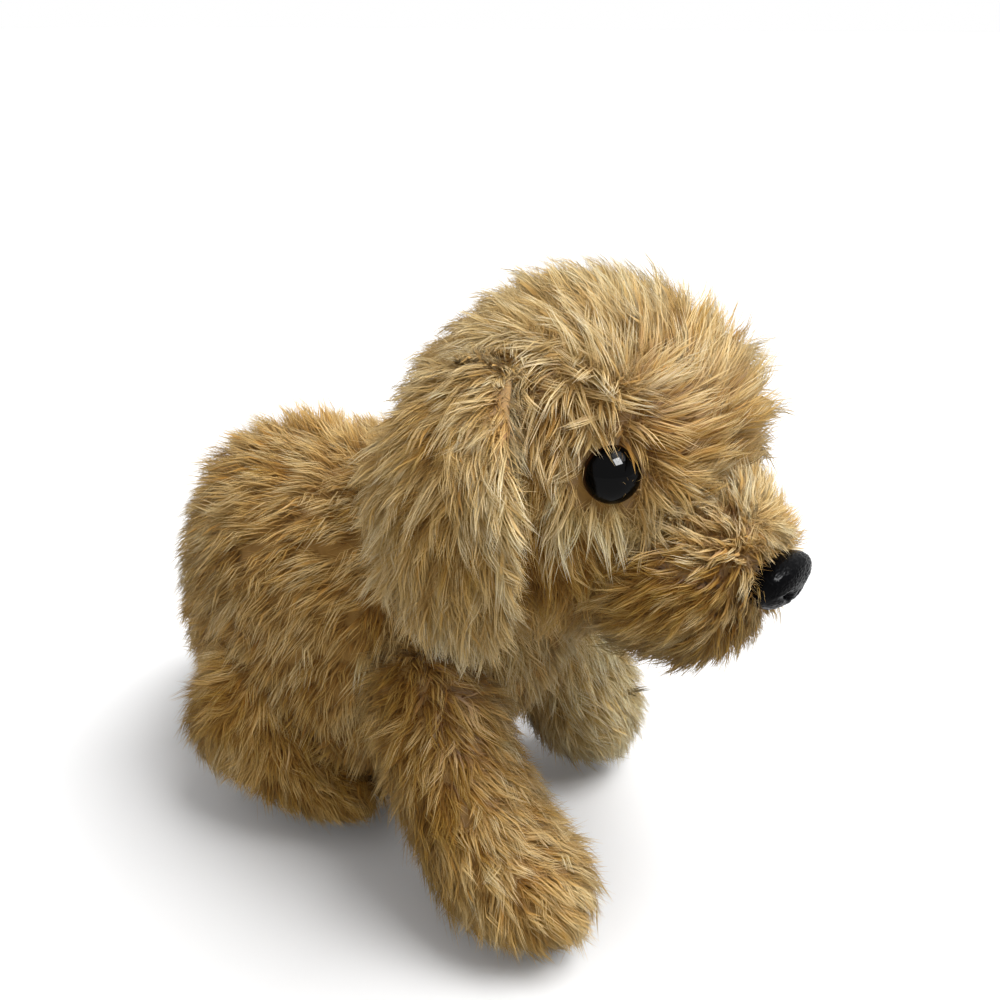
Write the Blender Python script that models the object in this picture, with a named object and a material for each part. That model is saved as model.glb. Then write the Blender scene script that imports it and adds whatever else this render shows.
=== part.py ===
"""Plush puppy sitting on its haunches, propped on its front legs.

Every cover is long-pile plush drawn as one thickness of backing and pile, sewn open
towards the torso or the neck and filled with a separate body of fibre stuffing.
Lengths are in millimetres and become metres through MM. The dog looks along +X, its
left side is +Y, and the floor is the plane Z = 0 with the origin under the seat.
"""
import math

import bmesh
import bpy
import numpy as np
from mathutils import Matrix, Vector
from mathutils.bvhtree import BVHTree

MM = 0.001

# Fits: between sewn neighbours, round stuffing, along seams, round moving pieces
GAP = 0.4
FILL_GAP = 0.8
SEAM = 0.4
JOINT_GAP = 0.9

# Plush thickness, backing and pile together
PILE = 9.0
LIMB_PILE = 8.0
TAIL_PILE = 6.0

# Torso overall, then its shape from rump to chest as shares of those sizes
BODY_LENGTH = 147.0
BODY_WIDTH = 106.0
BODY_HEIGHT = 130.0
RUMP_SHARE = 0.40
TORSO_ALONG = (0.0, 0.17, 0.40, 0.67, 1.0)
TORSO_MIDDLE = (0.425, 0.452, 0.504, 0.605, 0.645)
TORSO_WIDTH = (0.74, 0.80, 0.92, 0.94, 0.91)
TORSO_DEPTH = (0.99, 1.08, 1.063, 0.874, 0.77)
TORSO_FULLNESS = 0.72
BELLY_SEAM = 0.23
BELLY_SEAM_RISE = 8.0

# Pellet bag in the seat, as shares of the torso
BAG_ALONG = 0.24
BAG_MIDDLE = 0.17
BAG_SHARE = (0.20, 0.26, 0.12)

# Neck: ball on the chest, leaning axis, and the plane where the torso ends
NECK_ALONG = 0.67
NECK_MIDDLE = 0.63
NECK_LEAN = 60.0
NECK_PLANE = 0.84
HEAD_TURN = -6.0
HEAD_DROOP = 9.0
TURN_RANGE = (-20.0, 20.0)
NOD_RANGE = (-5.0, 14.0)

# Head overall, place of the skull from the neck ball, and shape from nape to brow
HEAD_LENGTH = 106.0
HEAD_WIDTH = 110.0
HEAD_HEIGHT = 109.0
SKULL_FORWARD = 0.98
SKULL_ABOVE = 1.16
HEAD_ALONG = (-0.49, -0.23, 0.04, 0.28, 0.51)
HEAD_MIDDLE = (-0.12, -0.07, -0.01, 0.01, -0.01)
HEAD_ROUND = (0.72, 0.88, 1.0, 0.94, 0.80)
HEAD_FULLNESS = 0.62
GUSSET_WIDTH = 28.0

# Muzzle
MUZZLE_REACH = 72.5
MUZZLE_ROOT = 12.0
MUZZLE_ROOT_DROP = 13.0
MUZZLE_TIP_DROP = 20.0
MUZZLE_WIDTH = 70.0
MUZZLE_HEIGHT = 62.0
MUZZLE_ROUND = (1.0, 1.03, 1.0, 0.94)
MUZZLE_FULLNESS = 0.5

# Eyes: dome, flange and shank in one, held by a washer behind the fabric
EYE_DIAMETER = 15.0
EYE_DOME = 5.5
EYE_FLANGE = 1.0
EYE_AZIMUTH = 46.5
EYE_HEIGHT = 15.0
EYE_BACKING = 2.5
EYE_HOLLOW = 12.5
SHANK_DIAMETER = 4.8
WASHER_DIAMETER = 12.0
WASHER_THICKNESS = 1.6
SHANK_TAIL = 2.0

# Nose
NOSE_WIDTH = 21.0
NOSE_HEIGHT = 17.0
NOSE_DEPTH = 14.0
NOSE_HEIGHT_ON_MUZZLE = 8.5
NOSE_TILT = 14.0
NOSE_SUNK = 0.18
NOSTRIL_DIAMETER = 4.0
NOSTRIL_SPACING = 9.0
NOSTRIL_AHEAD = 0.44
NOSTRIL_BELOW = 0.12
NOSTRIL_SHAPE = (0.8, 0.6, 0.42)

# Ears
EAR_LENGTH = 76.0
EAR_WIDTH = 54.0
EAR_THICKNESS = 22.0
EAR_LINING = 3.0
EAR_SEAT = 96.0
EAR_SEAT_HEIGHT = 34.0
EAR_WIDE = (0.60, 0.96, 1.0, 0.80)
EAR_THICK = (0.55, 0.95, 1.0, 0.85)
EAR_FULLNESS = 0.6
EAR_OUT = (0.10, 0.30, 0.42, 0.62)
EAR_FORWARD = 2.0
EAR_RANGE = (0.0, 60.0)

# Front legs from shoulder to toe, as shares of the shoulder's height and reach
SHOULDER_ALONG = 0.755
SHOULDER_SIDE = 0.64
SHOULDER_HEIGHT = 86.0
FRONT_REACH = 57.0
FRONT_SPREAD = 12.0
FRONT_WIDTH = 48.0
FRONT_STEP = 14.0
FRONT_FORWARD = (0.0, 0.18, 0.39, 0.62, 1.0)
FRONT_DOWN = (0.0, 0.25, 0.545, 0.73, 0.785)
FRONT_ROUND = (1.0, 1.0, 0.97, 1.05, 0.98)
FRONT_FULLNESS = 0.5
FRONT_SEAM = 0.0
FRONT_RANGE = (-10.0, 10.0)

# Hind legs from hip to toe, as shares of the hip's height and reach
HIP_ALONG = 0.20
HIP_SIDE = 0.66
HIP_HEIGHT = 54.0
HIND_REACH = 68.0
HIND_SPREAD = -5.0
HIND_WIDTH = 41.0
HIND_FORWARD = (0.0, 0.22, 0.46, 0.68, 1.0)
HIND_DOWN = (0.0, 0.16, 0.42, 0.63, 0.70)
HIND_WIDE = (1.05, 1.16, 1.06, 0.95, 0.88)
HIND_TALL = (1.50, 1.74, 1.26, 0.98, 0.88)
HIND_FULLNESS = 0.55
HIND_SEAM = 6.0
HIND_RANGE = (-8.0, 8.0)

# Tail, lying to the left behind the rump
TAIL_LENGTH = 70.0
TAIL_WIDTH = 30.0
TAIL_ALONG = 0.10
TAIL_HEIGHT = 0.39
TAIL_PATH = ((0.0, 0.05, 0.0), (-0.30, 0.30, -0.12), (-0.44, 0.62, -0.32), (-0.36, 0.95, -0.45))
TAIL_ROUND = (0.94, 1.06, 1.06, 0.88)
TAIL_FULLNESS = 0.6
TAIL_RANGE = (-10.0, 10.0)

# Places along a short spine, points around and along each form, and steps round turned pieces
THIRDS = (0.0, 0.33, 0.67, 1.0)
BODY_COUNTS = (20, 16)
CORE_COUNTS = (16, 12)
LEG_COUNTS = (14, 12)
FILL_COUNTS = (10, 9)
EAR_COUNTS = (16, 10)
TAIL_COUNTS = (12, 9)
TRIM_COUNTS = (18, 12)
ROUND_COUNT = 20
HOLE_COUNT = 14
FAR = 600.0
SWING_STEP = 10.0

for old in list(bpy.data.objects):
    bpy.data.objects.remove(old, do_unlink=True)

parts = bpy.data.collections.new("plush_dog")
cutters = bpy.data.collections.new("cutters")
bpy.context.scene.collection.children.link(parts)
bpy.context.scene.collection.children.link(cutters)


def material(name, colour, roughness):
    """Plain surface of one colour and roughness."""
    made = bpy.data.materials.new(name)
    made.use_nodes = True
    shader = made.node_tree.nodes["Principled BSDF"]
    shader.inputs["Base Color"].default_value = (*colour, 1.0)
    shader.inputs["Roughness"].default_value = roughness
    shader.inputs["Metallic"].default_value = 0.0
    return made


GOLDEN = material("golden_plush", (0.44, 0.29, 0.12), 0.95)
CREAM = material("cream_plush", (0.52, 0.38, 0.19), 0.95)
FIBRE = material("polyester_fibre", (0.85, 0.84, 0.80), 0.95)
CLOTH = material("bag_cloth", (0.75, 0.74, 0.70), 0.90)
BLACK = material("black_eye_plastic", (0.008, 0.007, 0.007), 0.12)
SOFT_BLACK = material("black_nose_plastic", (0.010, 0.009, 0.009), 0.35)
WHITE = material("white_washer_plastic", (0.70, 0.70, 0.68), 0.50)


def smooth(values, places, at):
    """Smooth curve through values at rising places, read off at the places asked for."""
    values = np.asarray(values, float)
    places = np.asarray(places, float)
    slope = np.gradient(values, places, axis=0)
    left = np.clip(np.searchsorted(places, at, side="right") - 1, 0, len(places) - 2)
    step = places[left + 1] - places[left]
    u = (at - places[left]) / step
    if values.ndim > 1:
        u = u[:, None]
        step = step[:, None]
    start = values[left] * (2 * u ** 3 - 3 * u ** 2 + 1) + slope[left] * step * (u ** 3 - 2 * u ** 2 + u)
    end = values[left + 1] * (3 * u ** 2 - 2 * u ** 3) + slope[left + 1] * step * (u ** 3 - u ** 2)
    return start + end


def guide(name, build):
    """Turns a bmesh into a smooth-shaded guide, facing outwards, kept with the cutters."""
    if build.calc_volume(signed=True) < 0:
        bmesh.ops.reverse_faces(build, faces=build.faces)
    mesh = bpy.data.meshes.new(name)
    build.to_mesh(mesh)
    build.free()
    mesh.shade_smooth()
    made = bpy.data.objects.new(name, mesh)
    made.hide_render = True
    made.display_type = "WIRE"
    cutters.objects.link(made)
    return made


def stuffed(name, spine, wide, tall, fullness, counts, inset=0.0, side=(0, 1, 0), place=None):
    """Closed form that swells and tapers along a spine, its poles at the spine's two ends.

    Each ring of a sphere is carried to its place on the spine: its latitude gives the
    place, and its radius raised to the fullness scales the half width and half height
    there. The inset makes the form that much smaller all round.
    """
    spine = np.asarray(spine, float)
    run = np.concatenate(([0.0], np.cumsum(np.linalg.norm(np.diff(spine, axis=0), axis=1))))
    build = bmesh.new()
    bmesh.ops.create_uvsphere(build, u_segments=counts[0], v_segments=counts[1], radius=1.0)
    unit = np.array([v.co[:] for v in build.verts])
    polar = np.arccos(np.clip(-unit[:, 2], -1, 1))
    turn = np.arctan2(unit[:, 1], unit[:, 0])
    at = inset + (run[-1] - 2 * inset) * (1 - np.cos(polar)) / 2
    inside = np.clip(at, 0, run[-1])
    ahead = smooth(spine, run, np.minimum(inside + 1, run[-1]))
    behind = smooth(spine, run, np.maximum(inside - 1, 0))
    tangent = ahead - behind
    tangent /= np.linalg.norm(tangent, axis=1)[:, None]
    centre = smooth(spine, run, inside) + tangent * (at - inside)[:, None]
    across = np.asarray(side, float) - tangent * (tangent @ np.asarray(side, float))[:, None]
    across /= np.linalg.norm(across, axis=1)[:, None]
    up = np.cross(tangent, across)
    swell = np.sin(polar) ** fullness
    width = (smooth(wide, run, inside) - inset) * swell * np.cos(turn)
    height = (smooth(tall, run, inside) - inset) * swell * np.sin(turn)
    shaped = (centre + across * width[:, None] + up * height[:, None]) * MM
    for vert, spot in zip(build.verts, shaped):
        vert.co = spot
    if place is not None:
        build.transform(place)
    return guide(name, build)


def block(name, low, high, place=Matrix()):
    """Box between two corners, keeping or removing one region of a form."""
    build = bmesh.new()
    bmesh.ops.create_cube(build, size=1.0)
    low = Vector(low)
    span = Vector(high) - low
    for vert in build.verts:
        vert.co = Vector(low[i] + (vert.co[i] + 0.5) * span[i] for i in range(3)) * MM
    build.transform(place)
    return guide(name, build)


def turned(name, profile, steps, place):
    """Solid of revolution about its own Z from (radius, height) pairs that start and end on the axis."""
    build = bmesh.new()
    line = [build.verts.new((r * MM, 0, z * MM)) for r, z in profile]
    edges = [build.edges.new(pair) for pair in zip(line, line[1:])]
    bmesh.ops.spin(build, geom=line + edges, cent=(0, 0, 0), axis=(0, 0, 1), angle=2 * math.pi, steps=steps)
    bmesh.ops.remove_doubles(build, verts=build.verts, dist=0.00001)
    bmesh.ops.recalc_face_normals(build, faces=build.faces)
    build.transform(place)
    return guide(name, build)


def ball(name, radii, place, counts):
    """Ellipsoid with its own three radii, set at a placing matrix."""
    build = bmesh.new()
    bmesh.ops.create_uvsphere(build, u_segments=counts[0], v_segments=counts[1], radius=MM)
    build.transform(place @ Matrix.Diagonal((*radii, 1.0)))
    return guide(name, build)


def turned_back(pivot, axis, swing):
    """Placings of a fixed body as a moving piece sees it, through the joint's whole swing."""
    count = math.ceil((swing[1] - swing[0]) / SWING_STEP) + 1
    centre = Matrix.Translation(pivot)
    angles = np.radians(np.linspace(-swing[1], -swing[0], count))
    return [centre @ Matrix.Rotation(float(angle), 4, axis) @ centre.inverted() for angle in angles]


def swept(name, form, placings):
    """One convex body round a rounded form at every placing, for clearing the piece that moves."""
    build = bmesh.new()
    for placing in placings:
        for vert in form.data.vertices:
            build.verts.new(placing @ vert.co)
    hull = bmesh.ops.convex_hull(build, input=build.verts)
    spare = {v for v in hull["geom_interior"] + hull["geom_unused"] if isinstance(v, bmesh.types.BMVert)}
    bmesh.ops.delete(build, geom=list(spare), context="VERTS")
    return guide(name, build)


def piece(name, form, look, keep=(), remove=(), add=()):
    """One physical piece: a form, cut by the bodies it clears and kept to its own region."""
    made = bpy.data.objects.new(name, form.data.copy())
    made.data.materials.clear()
    made.data.materials.append(look)
    parts.objects.link(made)
    for operation, tools in (("UNION", add), ("DIFFERENCE", remove), ("INTERSECT", keep)):
        for tool in tools:
            cut = made.modifiers.new(operation.lower() + "_" + tool.name, "BOOLEAN")
            cut.operation = operation
            cut.solver = "EXACT"
            cut.object = tool
    return made


def surface(form, start, direction):
    """Where a ray from inside a form leaves it."""
    corners = [v.co for v in form.data.vertices]
    tree = BVHTree.FromPolygons(corners, [p.vertices for p in form.data.polygons])
    return tree.ray_cast(start, direction)[0]


def facing(direction):
    """Turn that carries +Z onto a direction."""
    return Vector((0, 0, 1)).rotation_difference(direction).to_matrix().to_4x4()


def bearing(azimuth, rise, hand):
    """Direction at an azimuth from straight ahead towards one hand, and at a rise, both in degrees."""
    azimuth = math.radians(azimuth)
    rise = math.radians(rise)
    level = math.cos(rise)
    return Vector((math.cos(azimuth) * level, hand * math.sin(azimuth) * level, math.sin(rise)))


def shares(table, size):
    """A table of shares times one size."""
    return tuple(share * size for share in table)


# Torso forms
def body_x(share):
    """Place along the torso's length, from the rump."""
    return (share - RUMP_SHARE) * BODY_LENGTH


torso_spine = tuple((body_x(a), 0, m * BODY_HEIGHT) for a, m in zip(TORSO_ALONG, TORSO_MIDDLE))
torso_wide = shares(TORSO_WIDTH, BODY_WIDTH / 2)
torso_tall = shares(TORSO_DEPTH, BODY_HEIGHT / 2)
torso_shape = (torso_spine, torso_wide, torso_tall, TORSO_FULLNESS)
torso_form = stuffed("torso_form", *torso_shape, BODY_COUNTS)
torso_core = stuffed("torso_core", *torso_shape, CORE_COUNTS, inset=PILE)
torso_fill = stuffed("torso_fill", *torso_shape, CORE_COUNTS, inset=PILE + FILL_GAP)
torso_clear = stuffed("torso_clear", *torso_shape, BODY_COUNTS, inset=-JOINT_GAP)
floor = block("floor", (-FAR, -FAR, -FAR), (FAR, FAR, 0))

# Neck ball, leaning neck axis and the head's frame, turned on the neck and drooping
neck = Vector((body_x(NECK_ALONG), 0, NECK_MIDDLE * BODY_HEIGHT)) * MM
neck_radius = TORSO_DEPTH[-1] * BODY_HEIGHT / 2
neck_axis = Vector((math.cos(math.radians(NECK_LEAN)), 0, math.sin(math.radians(NECK_LEAN))))
neck_at = Matrix.Translation(neck)
neck_frame = neck_at @ facing(neck_axis)
turn_rest = neck_at @ Matrix.Rotation(math.radians(HEAD_TURN), 4, neck_axis) @ neck_at.inverted()
skull = neck + Vector((SKULL_FORWARD, 0, SKULL_ABOVE)) * neck_radius * MM
head_at = turn_rest @ Matrix.Translation(skull) @ Matrix.Rotation(math.radians(HEAD_DROOP), 4, "Y")
nod_axis = turn_rest.to_3x3() @ Vector((0, 1, 0))
neck_ball = ball("neck_ball", (neck_radius - GAP,) * 3, neck_at, TRIM_COUNTS)
neck_clear = ball("neck_clear", (neck_radius + JOINT_GAP,) * 3, neck_at, TRIM_COUNTS)
neck_plane = NECK_PLANE * neck_radius
beyond_neck = block("beyond_neck", (-FAR, -FAR, neck_plane - GAP), (FAR, FAR, FAR), neck_frame)
neck_cap = block("neck_cap", (-FAR, -FAR, neck_plane), (FAR, FAR, FAR), neck_frame)

# Torso covers, stuffing and pellet bag
belly_turn = Matrix.Rotation(-math.radians(BELLY_SEAM_RISE), 4, "Y")
seam_height = BELLY_SEAM * BODY_HEIGHT
under_seam = block("under_seam", (-FAR, -FAR, -FAR), (FAR, FAR, seam_height - SEAM / 2), belly_turn)
over_seam = block("over_seam", (-FAR, -FAR, seam_height + SEAM / 2), (FAR, FAR, FAR), belly_turn)
left_half = block("left_half", (-FAR, SEAM / 2, -FAR), (FAR, FAR, FAR))
right_half = block("right_half", (-FAR, -FAR, -FAR), (FAR, -SEAM / 2, FAR))
bag_at = Matrix.Translation(Vector((body_x(BAG_ALONG), 0, BAG_MIDDLE * BODY_HEIGHT)) * MM)
bag_size = Vector((BAG_SHARE[0] * BODY_LENGTH, BAG_SHARE[1] * BODY_WIDTH, BAG_SHARE[2] * BODY_HEIGHT))
bag_form = ball("bag_form", tuple(bag_size), bag_at, TAIL_COUNTS)
bag_clear = ball("bag_clear", tuple(v + GAP for v in bag_size), bag_at, TAIL_COUNTS)
piece("torso_left_panel", torso_form, GOLDEN, (over_seam, left_half), (torso_core, beyond_neck))
piece("torso_right_panel", torso_form, GOLDEN, (over_seam, right_half), (torso_core, beyond_neck))
piece("belly_panel", torso_form, CREAM, (under_seam,), (torso_core, beyond_neck, floor))
piece("torso_stuffing", torso_fill, FIBRE, (), (beyond_neck, bag_clear))
piece("pellet_bag", bag_form, CLOTH, (torso_fill,))
piece("neck_stuffing", neck_ball, FIBRE, (neck_cap,))

# Head and muzzle forms
head_spine = tuple((a * HEAD_LENGTH, 0, m * HEAD_HEIGHT) for a, m in zip(HEAD_ALONG, HEAD_MIDDLE))
head_wide = shares(HEAD_ROUND, HEAD_WIDTH / 2)
head_tall = shares(HEAD_ROUND, HEAD_HEIGHT / 2)
head_shape = (head_spine, head_wide, head_tall, HEAD_FULLNESS)
head_form = stuffed("head_form", *head_shape, BODY_COUNTS, place=head_at)
head_core = stuffed("head_core", *head_shape, CORE_COUNTS, inset=PILE, place=head_at)
head_fill = stuffed("head_fill", *head_shape, CORE_COUNTS, inset=PILE + FILL_GAP, place=head_at)
head_clear = stuffed("head_clear", *head_shape, BODY_COUNTS, inset=-GAP, place=head_at)
muzzle_run = MUZZLE_REACH - MUZZLE_ROOT
muzzle_fall = MUZZLE_TIP_DROP - MUZZLE_ROOT_DROP
muzzle_spine = tuple((MUZZLE_ROOT + muzzle_run * s, 0, -MUZZLE_ROOT_DROP - muzzle_fall * s) for s in THIRDS)
muzzle_wide = shares(MUZZLE_ROUND, MUZZLE_WIDTH / 2)
muzzle_tall = shares(MUZZLE_ROUND, MUZZLE_HEIGHT / 2)
muzzle_shape = (muzzle_spine, muzzle_wide, muzzle_tall, MUZZLE_FULLNESS)
muzzle_form = stuffed("muzzle_form", *muzzle_shape, LEG_COUNTS, place=head_at)
muzzle_core = stuffed("muzzle_core", *muzzle_shape, LEG_COUNTS, inset=PILE, place=head_at)
muzzle_fill = stuffed("muzzle_fill", *muzzle_shape, LEG_COUNTS, inset=PILE + FILL_GAP, place=head_at)

# The torso as it lies to the head, thrown back or bowed and turned either way
neck_nods = turned_back(neck, nod_axis, NOD_RANGE)
neck_turns = turned_back(neck, neck_axis, TURN_RANGE)
neck_sweep = swept("neck_sweep", torso_clear, [nod @ turn for nod in neck_nods for turn in neck_turns])

# Eyes: cutter and eye share one seat on the backing
eye_radius = EYE_DIAMETER / 2
shank_radius = SHANK_DIAMETER / 2
shank_bore = shank_radius + GAP
washer_radius = WASHER_DIAMETER / 2
washer_bore = washer_radius + GAP
washer_top = -EYE_BACKING - GAP
washer_low = washer_top - WASHER_THICKNESS
shank_end = washer_low - SHANK_TAIL
through = [(0, FAR / 10), (shank_bore, FAR / 10), (shank_bore, -FAR / 10), (0, -FAR / 10)]
eye_tools = []
eye_pockets = []
for hand, word in ((1, "left"), (-1, "right")):
    look = (head_at.to_3x3() @ bearing(EYE_AZIMUTH, EYE_HEIGHT, hand)).normalized()
    seat = surface(head_core, head_at.translation, look) + look * EYE_BACKING * MM
    eye_at = Matrix.Translation(seat) @ facing(look)
    dome = [(eye_radius * math.sin(a), EYE_DOME * math.cos(a)) for a in np.linspace(0, math.pi / 2, 6)]
    stem = [(eye_radius, -EYE_FLANGE), (shank_radius, -EYE_FLANGE),
            (shank_radius, shank_end), (0, shank_end)]
    eye_form = turned(f"{word}_eye_form", dome + stem, ROUND_COUNT, eye_at)
    rim = eye_radius + GAP
    hollow = [(0, PILE * 2), (EYE_HOLLOW + PILE, PILE * 2), (rim, 0), (rim, -EYE_FLANGE - GAP),
              (shank_bore, -EYE_FLANGE - GAP), (shank_bore, washer_top + GAP / 2),
              (washer_bore, washer_top + GAP / 2), (washer_bore, washer_low - GAP),
              (shank_bore, washer_low - GAP), (shank_bore, shank_end - GAP), (0, shank_end - GAP)]
    eye_tools.append(turned(f"{word}_eye_hollow", hollow, HOLE_COUNT, eye_at))
    pocket = [(0, PILE * 2), (washer_bore, PILE * 2), *hollow[7:]]
    eye_pockets.append(turned(f"{word}_eye_pocket", pocket, HOLE_COUNT, eye_at))
    washer = [(0, washer_top), (washer_radius, washer_top), (washer_radius, washer_low), (0, washer_low)]
    washer_form = turned(f"{word}_eye_washer_form", washer, HOLE_COUNT, eye_at)
    shank_hole = turned(f"{word}_eye_shank_hole", through, HOLE_COUNT, eye_at)
    piece(f"{word}_eye", eye_form, BLACK)
    piece(f"{word}_eye_washer", washer_form, WHITE, (), (shank_hole,))

# Nose: body, shank and nostrils, with a washer behind the fabric
snout_height = NOSE_HEIGHT_ON_MUZZLE - MUZZLE_TIP_DROP
snout = head_at @ (Vector(((MUZZLE_ROOT + MUZZLE_REACH) / 2, 0, snout_height)) * MM)
forward = head_at.to_3x3() @ Vector((1, 0, 0))
nose_back = surface(muzzle_core, snout, forward)
nose_middle = nose_back + forward * (PILE - NOSE_DEPTH * NOSE_SUNK) * MM
nose_at = Matrix.Translation(nose_middle) @ head_at.to_3x3().to_4x4()
nose_at = nose_at @ Matrix.Rotation(math.radians(-NOSE_TILT), 4, "Y")
nose_radii = (NOSE_DEPTH / 2, NOSE_WIDTH / 2, NOSE_HEIGHT / 2)
nose_form = ball("nose_form", nose_radii, nose_at, TRIM_COUNTS)
nose_clear = ball("nose_clear", tuple(r + GAP for r in nose_radii), nose_at, TRIM_COUNTS)
stem_at = Matrix.Translation(nose_back) @ facing(forward)
stem = [(0, PILE), (shank_radius, PILE), (shank_radius, shank_end), (0, shank_end)]
nose_stem = turned("nose_stem", stem, HOLE_COUNT, stem_at)
hole = [(0, PILE), (shank_bore, PILE), (shank_bore, -GAP / 2), (washer_bore, -GAP / 2),
        (washer_bore, washer_low - GAP), (shank_bore, washer_low - GAP), (shank_bore, shank_end - GAP),
        (0, shank_end - GAP)]
nose_hole = turned("nose_hole", hole, HOLE_COUNT, stem_at)
nose_washer_low = -GAP - WASHER_THICKNESS
washer = [(0, -GAP), (washer_radius, -GAP), (washer_radius, nose_washer_low), (0, nose_washer_low)]
nose_washer = turned("nose_washer_form", washer, HOLE_COUNT, stem_at)
nose_shank_hole = turned("nose_shank_hole", through, HOLE_COUNT, stem_at)
nostrils = []
for hand in (1, -1):
    ahead = NOSE_DEPTH * NOSTRIL_AHEAD
    spot = nose_at @ (Vector((ahead, hand * NOSTRIL_SPACING / 2, -NOSE_HEIGHT * NOSTRIL_BELOW)) * MM)
    radii = shares(NOSTRIL_SHAPE, NOSTRIL_DIAMETER)
    bore = Matrix.Translation(spot) @ nose_at.to_3x3().to_4x4()
    nostrils.append(ball(f"nostril_{hand}", radii, bore, FILL_COUNTS))
piece("nose", nose_form, SOFT_BLACK, (), tuple(nostrils), (nose_stem,))
piece("nose_washer", nose_washer, WHITE, (), (nose_shank_hole,))

# Head covers and stuffing
half_gusset = GUSSET_WIDTH / 2
head_left = block("head_left", (-FAR, half_gusset + SEAM, -FAR), (FAR, FAR, FAR), head_at)
head_right = block("head_right", (-FAR, -FAR, -FAR), (FAR, -half_gusset - SEAM, FAR), head_at)
head_strip = block("head_strip", (-FAR, -half_gusset, -FAR), (FAR, half_gusset, FAR), head_at)
throat = block("throat", (0, -FAR, -FAR), (FAR, FAR, -MUZZLE_ROOT_DROP), head_at)
throat_side = block("throat_side", (-SEAM, -FAR, -FAR), (FAR, FAR, SEAM - MUZZLE_ROOT_DROP), head_at)
skull_cuts = (head_core, muzzle_core, neck_clear, neck_sweep, *eye_tools)
piece("head_left_panel", head_form, GOLDEN, (head_left,), skull_cuts)
piece("head_right_panel", head_form, GOLDEN, (head_right,), skull_cuts)
piece("forehead_gusset", head_form, CREAM, (head_strip,), (*skull_cuts, throat_side))
piece("throat_panel", head_form, CREAM, (head_strip, throat), skull_cuts)
piece("head_stuffing", head_fill, FIBRE, (), (neck_clear, neck_sweep, *eye_pockets))
piece("muzzle_panel", muzzle_form, CREAM, (), (muzzle_core, head_clear, nose_clear, nose_hole, *eye_tools))
piece("muzzle_stuffing", muzzle_fill, FIBRE, (), (head_core, nose_clear, nose_hole))

# Ears: hung from a hinge on the side of the skull, lining towards the head
for hand, word in ((1, "left"), (-1, "right")):
    out = (head_at.to_3x3() @ bearing(EAR_SEAT, EAR_SEAT_HEIGHT, hand)).normalized()
    hinge = surface(head_form, head_at.translation, out)
    along = (turn_rest.to_3x3() @ Vector((1, 0, 0))).normalized()
    outward = along.cross(Vector((0, 0, 1))) * -hand
    ear_spine = []
    for share, stand in zip(THIRDS, EAR_OUT):
        level = hinge + (along * EAR_FORWARD - Vector((0, 0, EAR_LENGTH))) * share * MM
        inside = level - outward * (level - head_at.translation).dot(outward)
        beside = surface(head_form, inside, outward)
        ear_spine.append(tuple(beside / MM + outward * stand * EAR_THICKNESS))
    ear_shape = (ear_spine, shares(EAR_WIDE, EAR_WIDTH / 2), shares(EAR_THICK, EAR_THICKNESS / 2))
    ear_form = stuffed(f"{word}_ear_form", *ear_shape, EAR_FULLNESS, EAR_COUNTS, side=tuple(along))
    stand_off = -JOINT_GAP - EAR_LINING
    near = stuffed(f"{word}_ear_near", *head_shape, BODY_COUNTS, inset=stand_off, place=head_at)
    past = stuffed(f"{word}_ear_past", *head_shape, BODY_COUNTS, inset=stand_off - SEAM, place=head_at)
    swing = []
    for i, placing in enumerate(turned_back(hinge, along * hand, EAR_RANGE)):
        swing.append(stuffed(f"{word}_ear_clear_{i}", *head_shape, BODY_COUNTS, inset=-JOINT_GAP,
                             place=placing @ head_at))
    piece(f"{word}_ear_outer", ear_form, GOLDEN, (), (past, *swing))
    piece(f"{word}_ear_lining", ear_form, CREAM, (near,), swing)

# Legs: outer and inner covers meet on a seam down the leg, round one stuffing
def leg(word, spine, wide, tall, fullness, seam_out, swing):
    """Both covers and the stuffing of one leg, hung from the first point of its spine."""
    hand = 1 if spine[0][1] > 0 else -1
    pivot = Vector(spine[0]) * MM
    form = stuffed(f"{word}_form", spine, wide, tall, fullness, LEG_COUNTS)
    core = stuffed(f"{word}_core", spine, wide, tall, fullness, FILL_COUNTS, inset=LIMB_PILE)
    fill = stuffed(f"{word}_fill", spine, wide, tall, fullness, FILL_COUNTS, inset=LIMB_PILE + FILL_GAP)
    sweep = swept(f"{word}_sweep", torso_clear, turned_back(pivot, Vector((0, 1, 0)), swing))
    run = Vector(spine[-1]) - Vector(spine[0])
    lean = Matrix.Translation(pivot) @ Matrix.Rotation(math.atan2(run.y, -run.z), 4, "X")
    inner_side = (-FAR, -FAR, -FAR), (FAR, hand * seam_out - SEAM / 2, FAR)
    outer_side = (-FAR, hand * seam_out + SEAM / 2, -FAR), (FAR, FAR, FAR)
    if hand < 0:
        inner_side, outer_side = outer_side, inner_side
    outer = block(f"{word}_outer_side", *outer_side, lean)
    inner = block(f"{word}_inner_side", *inner_side, lean)
    cuts = (core, floor, sweep)
    piece(f"{word}_outer", form, GOLDEN, (outer,), cuts)
    piece(f"{word}_inner", form, GOLDEN, (inner,), cuts)
    piece(f"{word}_stuffing", fill, FIBRE, (), (sweep,))


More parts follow.
